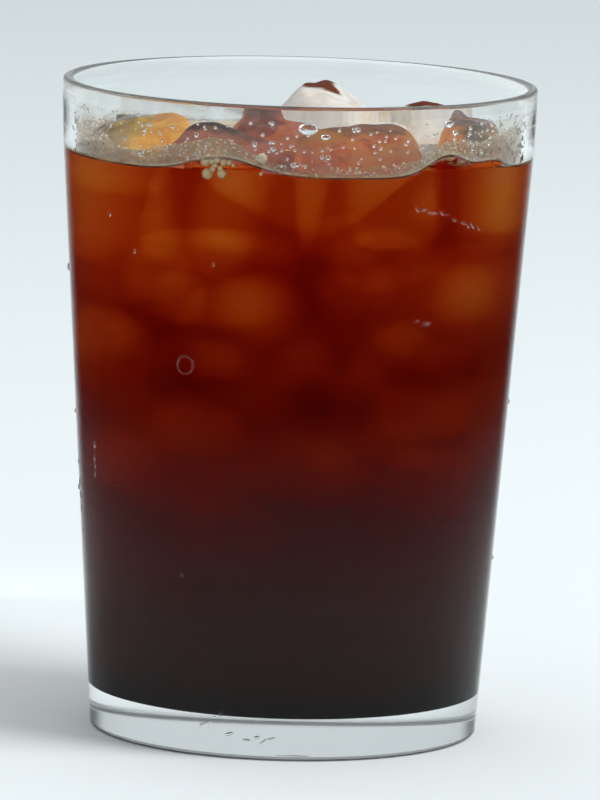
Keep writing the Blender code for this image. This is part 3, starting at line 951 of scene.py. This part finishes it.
class AMERICANO_OT_ice(bpy.types.Operator):
    """Finish the standing ice and fill the upper part of the drink with sunk ice"""

    bl_idname = "americano.ice"
    bl_label = "Ice"

    def execute(self, context):
        materials = {"clear": ice_material("clear ice", settings().ice.colour, *CLEAR_LOOK)}
        for kind, look in PAINTED_ICE_LOOKS.items():
            materials[kind] = ice_material(kind + " ice", *look)
        for name in STANDING_ICE:
            material = materials[ICE_KINDS.get(name, "clear")]
            piece = smooth_object(name.replace("ice_", "ice_piece_"), welded_copy(name), material, 3)
            self.roughen(piece)
            mark_faces(piece, "sunk", lambda middle: float(middle.z < surface_height(middle)))
            self.mark_tip(piece)
            finish_piece(piece, "ice", name)
        self.drop_sunk_ice()
        return {"FINISHED"}

    def roughen(self, piece):
        """Gives a piece shallow melted dents, and the back one its saddle between two tips."""
        mesh = piece.data
        normals = [Vector(vert.normal) for vert in mesh.vertices]
        for vert, normal in zip(mesh.vertices, normals):
            dent = noise.noise(vert.co / DENT_SIZE) + 0.5 * noise.noise(vert.co * 2.3 / DENT_SIZE)
            vert.co += normal * DENT_DEPTH * dent
        if piece.name == "ice_piece_back":
            top = max(vert.co.z for vert in mesh.vertices)
            for vert in mesh.vertices:
                near_top = max(0.0, 1.0 - (top - vert.co.z) / SADDLE_REACH)
                dip = math.exp(-((vert.co.x - SADDLE_X) / SADDLE_WIDTH) ** 2)
                vert.co.z -= SADDLE_DEPTH * near_top * dip

    def mark_tip(self, piece):
        """Marks the highest part of a piece, where coffee still clings."""
        marks = piece.data.attributes.new("tip", "FLOAT", "POINT")
        top = max(vert.co.z for vert in piece.data.vertices)
        depth = 0.0 if piece.name == "ice_piece_clear" else TIP_DEPTH
        for vert, mark in zip(piece.data.vertices, marks.data):
            reach = depth * (1.0 + noise.noise(vert.co / DENT_SIZE))
            mark.value = min(1.0, max(0.0, (vert.co.z - top + reach) / (TIP_FADE * TIP_DEPTH)))

    def drop_sunk_ice(self):
        """Sinks the pieces that show at the front, then fills up with loose pieces from the top."""
        ice = settings().ice
        draw = random.Random(ice.seed)
        self.material = sunk_ice_material()
        self.placed = []
        grid = cube_grid()
        self.ways = numpy.array([vert.co.normalized() for vert in grid.verts])
        grid.free()
        self.standing = [self.standing_points(name) for name in STANDING_ICE]
        for middle, size, turn, phase in FRONT_ICE:
            spin = numpy.array(Euler([math.radians(angle) for angle in turn]).to_matrix())
            for shrink in SHRINKS:
                if self.place(numpy.array(middle) * MM, numpy.array(size) * MM * shrink, spin, phase):
                    break
        loose = 0
        for attempt in range(LOOSE_TRIES):
            if loose >= ice.pieces:
                break
            side = ice.largest + (ice.smallest - ice.largest) * attempt / LOOSE_TRIES
            size = numpy.array([side * draw.uniform(0.8, 1.1) for axis in range(3)])
            turns = [draw.uniform(-math.pi, math.pi) for axis in range(3)]
            spin = numpy.array(Euler(turns).to_matrix())
            spread = (inner_radius(ice.lowest) - 0.5 * side) * math.sqrt(draw.uniform(0, 1))
            angle = draw.uniform(0, 2 * math.pi)
            phase = draw.uniform(0, 6)
            height = settings().drink.level - 0.4 * side
            while height > ice.lowest + 0.5 * side:
                middle = numpy.array((spread * math.cos(angle), spread * math.sin(angle), height))
                if self.place(middle, size, spin, phase):
                    loose += 1
                    break
                height -= SINK_STEP

    def standing_points(self, name):
        """Places all over a standing piece of ice, with its middle and its reach."""
        mesh = bpy.data.objects[name.replace("ice_", "ice_piece_")].data
        points = numpy.array([vert.co for vert in mesh.vertices])
        middle = 0.5 * (points.min(axis=0) + points.max(axis=0))
        return points, middle, numpy.linalg.norm(points - middle, axis=1).max()

    def place(self, middle, size, spin, phase):
        """Makes a sunk piece if it is clear of the wall, the surface and the other ice."""
        points = lump_points(self.ways, size, phase) @ spin.T + middle
        across = numpy.hypot(points[:, 0], points[:, 1])
        if (across > inner_radius(points[:, 2].min()) - ICE_GAP).any():
            return False
        if points[:, 2].max() > settings().drink.level - ICE_GAP:
            return False
        half = 0.5 * size * (1.0 + WAVINESS) + ICE_GAP
        reach = numpy.linalg.norm(half)
        body = (middle, spin, half)
        for others, centre, radius in self.standing:
            if numpy.linalg.norm(centre - middle) < radius + reach and self.holds_any(body, others):
                return False
        for others, other in self.placed:
            near = numpy.linalg.norm(other[0] - middle) < numpy.linalg.norm(other[2]) + reach
            if near and (self.holds_any(body, others) or self.holds_any(other, points)):
                return False
        self.placed.append((points, body))
        work = cube_grid()
        for vert, point in zip(work.verts, points):
            vert.co = point
        piece = smooth_object(f"ice_sunk_{len(self.placed)}", work, self.material, 1)
        finish_piece(piece, "ice")
        return True

    def holds_any(self, body, points):
        """Whether any of the points lies inside a piece with its gap."""
        middle, spin, half = body
        own = numpy.abs((points - middle) @ spin) / half
        return bool(((own ** settings().ice.melt).sum(axis=1) < 1.0).any())


class AMERICANO_OT_coffee(bpy.types.Operator):
    """Build the coffee up to its surface, cut round every piece of ice"""

    bl_idname = "americano.coffee"
    bl_label = "Coffee"

    def execute(self, context):
        glass = settings().tumbler
        drink = settings().drink
        profile = [(0.0, glass.floor_height - OVERLAP)]
        corner = floor_corner(OVERLAP, 10)
        profile += [(corner[0][0] * step / 6, corner[0][1]) for step in range(1, 6)]
        profile += corner
        profile += [(inner_radius(z) + OVERLAP, z) for z in spaced(corner[-1][1], drink.level, 24)]
        edge = inner_radius(drink.level) + OVERLAP
        rings = [edge - drink.climb_width * share for share in spaced(0.0, 1.0, 8)]
        profile += [(ring, drink.level) for ring in rings]
        profile += [(rings[-1] * (1 - step / 14), drink.level) for step in range(1, 15)]
        work = spin_profile(profile, ROUND_STEPS)
        for vert in work.verts:
            if vert.co.z > drink.level - 0.01 * MM:
                vert.co.z = surface_height(vert.co)
        coffee = make_object("coffee_body", work, coffee_material())
        mark_faces(coffee, "by_ice", 0.0)
        mark_faces(coffee, "open", self.is_open)
        self.cut_round_ice(coffee)
        finish_piece(coffee, "coffee", "coffee")
        return {"FINISHED"}

    def is_open(self, middle):
        """Whether this place is on the coffee's upper surface."""
        return float(middle.z > surface_height(middle) - 0.05 * MM)

    def cut_round_ice(self, coffee):
        """Takes every piece of ice, slightly grown, out of the coffee."""
        cutters = bpy.data.collections.new("cutters")
        bpy.context.scene.collection.children.link(cutters)
        pieces = [obj for obj in bpy.data.objects if obj.name.startswith(("ice_piece", "ice_sunk"))]
        for piece in pieces:
            mesh = piece.data.copy()
            normals = [Vector(vert.normal) for vert in mesh.vertices]
            for vert, normal in zip(mesh.vertices, normals):
                vert.co += normal * ICE_HOLLOW
            self.add_cutter(cutters, mesh)
        for middle, radius in cluster_bubbles():
            work = bmesh.new()
            add_ball(work, middle, radius + BUBBLE_HOLLOW, 3)
            mesh = bpy.data.meshes.new("hollow")
            work.to_mesh(mesh)
            work.free()
            mesh.shade_smooth()
            mesh.materials.append(coffee.data.materials[0])
            self.add_cutter(cutters, mesh)
        cut = coffee.modifiers.new("cut", "BOOLEAN")
        cut.operation = "DIFFERENCE"
        cut.operand_type = "COLLECTION"
        cut.collection = cutters
        cut.solver = "MANIFOLD"
        graph = bpy.context.evaluated_depsgraph_get()
        mesh = bpy.data.meshes.new_from_object(coffee.evaluated_get(graph))
        coffee.modifiers.clear()
        coffee.data = mesh
        for grown in list(cutters.objects):
            bpy.data.objects.remove(grown)
        bpy.data.collections.remove(cutters)

    def add_cutter(self, cutters, mesh):
        """Adds a body that is taken out of the coffee, with its faces marked as lying at ice."""
        cutter = bpy.data.objects.new("cutter", mesh)
        cutters.objects.link(cutter)
        mark_faces(cutter, "by_ice", 1.0)
        mark_faces(cutter, "open", 0.0)


class AMERICANO_OT_foam(bpy.types.Operator):
    """Build the ring of foam on the coffee and the mist of bubbles on the wall above it"""

    bl_idname = "americano.foam"
    bl_label = "Foam"

    def execute(self, context):
        self.make_ring()
        self.make_film()
        self.make_bubbles()
        return {"FINISHED"}

    def make_ring(self):
        """The ring that lies on the coffee: its section is turned far out, then put in its place."""
        far = 3.0
        section = [(far - across, up) for across, up in FOAM_SECTION]
        work = spin_profile(section, FOAM_STEPS, closed=True)
        shares = []
        rises = []
        for vert in work.verts:
            across = far - math.hypot(vert.co.x, vert.co.y)
            up = vert.co.z
            bearing = bearing_of(vert.co)
            vert.co = foam_point(bearing, across, up)
            rise = vert.co.z - surface_height(vert.co)
            rises.append(rise / RISE_SPAN if across < AT_WALL else INNER_STEP)
            shares.append(self.ring_cover(bearing, across, rise))
        bmesh.ops.recalc_face_normals(work, faces=work.faces)
        ring = make_object("foam_ring", work, foam_material("foam", settings().foam.colour, 1500.0))
        self.mark_points(ring, "cover", shares)
        self.mark_points(ring, "rise", rises)
        finish_piece(ring, "foam", "foam")

    def mound_share(self, bearing):
        """How much of a mound there is at a bearing, 1 or more on a tall one."""
        return sum(hump(bearing, middle, width) * min(1.0, tall / FOAM_DENSE_HEIGHT)
                   for middle, width, wide, tall in FOAM_MOUNDS)

    def ring_cover(self, bearing, across, rise):
        """How thick the foam looks at a place of its section."""
        mound = self.mound_share(bearing)
        edge = math.exp(-(rise / LINE_HEIGHT) ** 4) * (across < AT_WALL)
        front = 1.0 - BACK_FADE * min(1.0, max(0.0, (abs(bearing) - BACK_FROM) / BACK_AFTER))
        return min(1.0, (THIN_COVER + MOUND_COVER * mound + EDGE_COVER * edge) * front)

    def make_film(self):
        """The thin film of mist on the inner wall: two rows are turned, then put in their place."""
        inner, outer = FILM_DEPTHS
        section = [(2.0, step / FILM_ROWS) for step in range(FILM_ROWS + 1)]
        section += [(1.0, step / FILM_ROWS) for step in range(FILM_ROWS, -1, -1)]
        work = spin_profile(section, FOAM_STEPS, closed=True)
        shares = []
        rises = []
        highest = settings().tumbler.height - RIM_HIGHLIGHT_BAND
        for vert in work.verts:
            inwards = outer if math.hypot(vert.co.x, vert.co.y) > 1.5 else inner
            bearing = bearing_of(vert.co)
            rise = vert.co.z * FILM_TOP
            line = water_line(bearing) + 0.2 * MM
            rise *= min(1.0, (highest - line) / FILM_TOP)
            vert.co = wall_place(bearing, line + rise, inwards)
            shares.append(mist_cover(bearing, rise))
            rises.append(FILM_START + rise / RISE_SPAN)
        bmesh.ops.recalc_face_normals(work, faces=work.faces)
        film = make_object("wall_film", work, foam_material("mist", (0.88, 0.83, 0.76), 2400.0))
        self.mark_points(film, "cover", shares)
        self.mark_points(film, "rise", rises)
        finish_piece(film, "foam")

    def mark_points(self, obj, name, shares):
        """Stores a number for every corner of a mesh."""
        marks = obj.data.attributes.new(name, "FLOAT", "POINT")
        for mark, share in zip(marks.data, shares):
            mark.value = share

    def make_bubbles(self):
        """Single bubbles: the cluster at the edge of the coffee and small ones all over the foam."""
        draw = random.Random(settings().foam.seed)
        work = bmesh.new()
        for middle, radius in cluster_bubbles():
            add_ball(work, middle, radius, 3)
        golden = bubble_material("golden bubbles", (1.0, 0.82, 0.5), 0.3, 0.06)
        cluster = make_object("cluster_bubbles", work, golden)
        finish_piece(cluster, "foam")
        work = bmesh.new()
        for count in range(FOAM_BUBBLES):
            bearing = draw.uniform(-180.0, 180.0)
            across, up = draw.choice(FOAM_TOP_POINTS)
            radius = draw.uniform(*FOAM_BUBBLE_RADII) * MM
            if abs(bearing) > BUBBLES_UP_TO or draw.random() > FLAT_SHARE + self.mound_share(bearing):
                continue
            middle = foam_point(bearing, across, up)
            away = math.hypot(middle.x, middle.y)
            most = inner_radius(middle.z) - radius - BUBBLE_GAP
            if away > most:
                middle = Vector((middle.x * most / away, middle.y * most / away, middle.z))
            add_ball(work, middle, radius, 1)
        for bearing_middle, width, wide, tall in BUBBLY_MOUNDS:
            for count in range(MOUND_BUBBLES):
                bearing = bearing_middle + draw.gauss(0.0, 0.8) * width
                radius = draw.uniform(*MOUND_BUBBLE_RADII) * MM
                place = foam_point(bearing, 0.0, draw.uniform(0.15, 0.95))
                inwards = (inner_radius(place.z) - radius - BUBBLE_GAP) / place.xy.length
                place = Vector((place.x * inwards, place.y * inwards, place.z))
                add_ball(work, place, radius, 1)
        beige = bubble_material("bubbles", (0.84, 0.68, 0.47), 0.15, 0.25)
        bubbles = make_object("foam_bubbles", work, beige)
        finish_piece(bubbles, "foam")


class AMERICANO_OT_drops(bpy.types.Operator):
    """Scatter drops of water on the inner wall above the foam, and water marks on the outside"""

    bl_idname = "americano.drops"
    bl_label = "Drops"

    def execute(self, context):
        draw = random.Random(5)
        dome = self.make_dome()
        work = bmesh.new()
        for bearing, height, radius, depth in LARGE_DROPS:
            self.add_drop(work, dome, bearing, height, (radius, depth, radius * 0.62))
        placed = 0
        while placed < DROPS:
            bearing = draw.uniform(-DROPS_UP_TO, DROPS_UP_TO)
            rise = draw.uniform(*DROP_RISES) * MM
            if draw.random() < SMALL_SHARE:
                radius = draw.uniform(*SMALL_DROPS) * MM
            else:
                radius = draw.uniform(*MIDDLING_DROPS) * MM
            if draw.random() > 0.15 + 2.2 * mist_cover(bearing, 0.55 * rise):
                continue
            height = water_line(bearing) + rise
            if height > settings().tumbler.height - DRY_RIM:
                continue
            size = (radius, radius * 0.6, radius * draw.uniform(0.8, 1.3))
            self.add_drop(work, dome, bearing, height, size)
            placed += 1
        drops = make_object("wall_drops", work, water_material())
        finish_piece(drops, "ice")
        self.mark_outside(draw, dome)
        bpy.data.meshes.remove(dome)
        return {"FINISHED"}

    def mark_outside(self, draw, dome):
        """Leaves water marks and single drops on the outside of the glass."""
        work = bmesh.new()
        for start, high, end, low, strokes, bulge in WATER_MARKS:
            span = math.radians(end - start) * outer_radius(high * MM)
            slope = math.atan2((high - low) * MM, span)
            for stroke in range(strokes):
                share = (stroke + draw.uniform(0.1, 0.9)) / strokes
                height = (high + (low - high) * share + draw.uniform(-0.5, 0.5)) * MM
                size = (draw.uniform(0.3, 0.9) * MM, bulge * MM, draw.uniform(0.14, 0.3) * MM)
                tilt = slope + draw.uniform(-0.7, 0.7)
                self.add_mark(work, dome, start + (end - start) * share, height, size, tilt)
        for bearing, height, radius in OUTER_DROPS:
            size = (radius * MM, 0.5 * radius * MM, 1.1 * radius * MM)
            self.add_mark(work, dome, bearing, height * MM, size, 0.0)
        self.add_ring(work)
        bmesh.ops.recalc_face_normals(work, faces=work.faces)
        marks = make_object("outer_marks", work, water_material())
        finish_piece(marks, "ice")

    def add_ring(self, work):
        """Adds the ring-shaped water mark, a thin circle turned about its middle."""
        bearing, height, radius, half = RING_MARK
        start = len(work.verts)
        ring = bmesh.ops.create_circle(work, segments=10, radius=half,
                                       matrix=Matrix.Translation((radius, 0, 0)))
        edges = list({edge for vert in ring["verts"] for edge in vert.link_edges})
        bmesh.ops.spin(work, geom=ring["verts"] + edges, cent=(0, 0, 0), axis=(0, 1, 0),
                       angle=2 * math.pi, steps=40, use_merge=True)
        work.verts.ensure_lookup_table()
        turn = Matrix.Rotation(math.radians(bearing), 4, "Z")
        middle = outer_place(bearing, height, 0.0)
        bmesh.ops.transform(work, verts=work.verts[start:], matrix=Matrix.Translation(middle) @ turn)

    def add_mark(self, work, dome, bearing, height, size, tilt):
        """Adds one flat drop that bulges outwards from the wall."""
        spin = Matrix.Rotation(math.radians(bearing), 4, "Z") @ Matrix.Rotation(tilt, 4, "Y")
        place = Matrix.Translation(outer_place(bearing, height, 0.02 * MM))
        self.add_dome(work, dome, place @ spin @ Matrix.Diagonal((*size, 1.0)))

    def make_dome(self):
        """Half a ball with a flat back, bulging towards -Y, as a mesh to copy."""
        work = bmesh.new()
        bmesh.ops.create_uvsphere(work, u_segments=12, v_segments=8, radius=1.0)
        cut = bmesh.ops.bisect_plane(work, geom=work.verts[:] + work.edges[:] + work.faces[:],
                                     plane_co=(0, 0.05, 0), plane_no=(0, 1, 0), clear_outer=True)
        edges = [item for item in cut["geom_cut"] if isinstance(item, bmesh.types.BMEdge)]
        bmesh.ops.holes_fill(work, edges=edges, sides=0)
        dome = bpy.data.meshes.new("dome")
        work.to_mesh(dome)
        work.free()
        return dome

    def add_drop(self, work, dome, bearing, height, size):
        """Adds one drop that bulges inwards from the wall."""
        turn = Matrix.Rotation(math.radians(bearing + 180.0), 4, "Z")
        place = Matrix.Translation(wall_place(bearing, height, -0.03 * MM))
        self.add_dome(work, dome, place @ turn @ Matrix.Diagonal((*size, 1.0)))

    def add_dome(self, work, dome, matrix):
        """Adds a copy of the dome, sized, turned and put in its place by a matrix."""
        start = len(work.verts)
        work.from_mesh(dome)
        work.verts.ensure_lookup_table()
        bmesh.ops.transform(work, verts=work.verts[start:], matrix=matrix)


class AMERICANO_OT_stage(bpy.types.Operator):
    """Build the floor, the soft light and the camera"""

    bl_idname = "americano.stage"
    bl_label = "Stage"

    def execute(self, context):
        self.make_floor()
        self.make_light()
        self.make_camera()
        return {"FINISHED"}

    def make_floor(self):
        """A large plain floor."""
        work = bmesh.new()
        bmesh.ops.create_circle(work, cap_ends=True, segments=64, radius=8.0)
        bmesh.ops.translate(work, verts=work.verts, vec=(0, 0, -FLOOR_DROP))
        floor = make_object("floor", work, floor_material(), smooth=False)

    def make_light(self):
        """A pale surround, a large soft lamp at the front right and two small ones on the ice."""
        world = bpy.data.worlds.new("surround")
        world.use_nodes = True
        self.shade_sides(world.node_tree.nodes, world.node_tree.links)
        bpy.context.scene.world = world
        stage = settings().stage
        key = bpy.data.lights.new("key", "AREA")
        key.shape = "DISK"
        key.size = 1.2
        key.energy = stage.key_power
        self.aim("key", key, KEY_PLACE, KEY_TARGET)
        strip = bpy.data.lights.new("strip", "AREA")
        strip.shape = "RECTANGLE"
        strip.size = 0.4
        strip.size_y = 0.16
        strip.energy = stage.strip_power
        self.aim("strip", strip, STRIP_PLACE, STRIP_TARGET)
        spot = bpy.data.lights.new("spot", "SPOT")
        spot.energy = stage.spot_power
        spot.spot_size = math.radians(6.0)
        spot.spot_blend = 0.6
        spot.shadow_soft_size = 0.04
        self.aim("spot", spot, SPOT_PLACE, SPOT_TARGET)

    def aim(self, name, lamp, place, target):
        """Puts a lamp at a place and turns it to a target."""
        holder = bpy.data.objects.new(name, lamp)
        holder.location = place
        holder.rotation_euler = (Vector(target) - Vector(place)).to_track_quat("-Z", "Y").to_euler()
        bpy.context.scene.collection.objects.link(holder)

    def shade_sides(self, nodes, links):
        """Makes the surround even, but for two dark places low at the left and the right."""
        background = nodes["Background"]
        background.inputs["Strength"].default_value = settings().stage.surround
        way = nodes.new("ShaderNodeTexCoord")
        split = nodes.new("ShaderNodeSeparateXYZ")
        side = add_node(nodes, "ShaderNodeMath", operation="ABSOLUTE")
        near = map_range(nodes, DARK_SIDEWAYS)
        low = map_range(nodes, DARK_BELOW)
        both = add_node(nodes, "ShaderNodeMath", operation="MULTIPLY")
        shade = add_node(nodes, "ShaderNodeMix", data_type="RGBA")
        shade.inputs[6].default_value = PALE_SURROUND
        shade.inputs[7].default_value = DARK_SURROUND
        links.new(way.outputs["Generated"], split.inputs[0])
        links.new(split.outputs["X"], side.inputs[0])
        links.new(side.outputs[0], near.inputs["Value"])
        links.new(split.outputs["Z"], low.inputs["Value"])
        links.new(near.outputs["Result"], both.inputs[0])
        links.new(low.outputs["Result"], both.inputs[1])
        links.new(both.outputs[0], shade.inputs[0])
        links.new(shade.outputs[2], background.inputs["Color"])

    def make_camera(self):
        """The camera, where the photograph was taken from."""
        stage = settings().stage
        data = bpy.data.cameras.new("camera")
        data.sensor_width = 36.0
        data.lens = stage.focal_length
        data.clip_start = 0.05
        data.clip_end = 60.0
        camera = bpy.data.objects.new("camera", data)
        turn = Euler((math.pi / 2 - stage.camera_pitch, 0, CAMERA_TURN)).to_matrix()
        turn @= Matrix.Rotation(stage.camera_roll, 3, "Z")
        camera.matrix_world = Matrix.LocRotScale(
            Vector((0, -stage.camera_distance, stage.camera_height)), turn, None)
        bpy.context.scene.collection.objects.link(camera)
        scene = bpy.context.scene
        scene.camera = camera
        scene.view_settings.view_transform = "Standard"
        scene.cycles.max_bounces = 64
        scene.cycles.transmission_bounces = 64
        scene.cycles.glossy_bounces = 16


class AmericanoSettings(bpy.types.PropertyGroup):
    """All settings of the drink."""

    tumbler: PointerProperty(type=TumblerSettings)
    drink: PointerProperty(type=DrinkSettings)
    ice: PointerProperty(type=IceSettings)
    foam: PointerProperty(type=FoamSettings)
    stage: PointerProperty(type=StageSettings)


OPERATORS = (
    AMERICANO_OT_stage,
    AMERICANO_OT_tumbler,
    AMERICANO_OT_ice,
    AMERICANO_OT_coffee,
    AMERICANO_OT_foam,
    AMERICANO_OT_drops,
)


class AMERICANO_PT_panel(bpy.types.Panel):
    """Settings and steps of the drink"""

    bl_idname = "AMERICANO_PT_panel"
    bl_label = "Iced Americano"
    bl_space_type = "VIEW_3D"
    bl_region_type = "UI"
    bl_category = "Drink"

    def draw(self, context):
        for name in ("tumbler", "drink", "ice", "foam", "stage"):
            group = getattr(context.scene.americano, name)
            box = self.layout.box()
            box.label(text=name.capitalize())
            for key in group.bl_rna.properties.keys():
                if key not in ("rna_type", "name"):
                    box.prop(group, key)
        for operator in OPERATORS:
            self.layout.operator(operator.bl_idname)


GROUPS = (TumblerSettings, DrinkSettings, IceSettings, FoamSettings, StageSettings, AmericanoSettings)
CLASSES = GROUPS + OPERATORS + (AMERICANO_PT_panel,)


def register():
    """Makes the classes and the settings known to Blender."""
    for cls in CLASSES:
        bpy.utils.register_class(cls)
    bpy.types.Scene.americano = PointerProperty(type=AmericanoSettings)


def unregister():
    """Takes the classes and the settings away again."""
    del bpy.types.Scene.americano
    for cls in reversed(CLASSES):
        bpy.utils.unregister_class(cls)


def main():
    """Builds every piece."""
    register()
    bpy.ops.americano.stage()
    bpy.ops.americano.tumbler()
    bpy.ops.americano.ice()
    bpy.ops.americano.coffee()
    bpy.ops.americano.foam()
    bpy.ops.americano.drops()


if __name__ == "__main__":
    main()
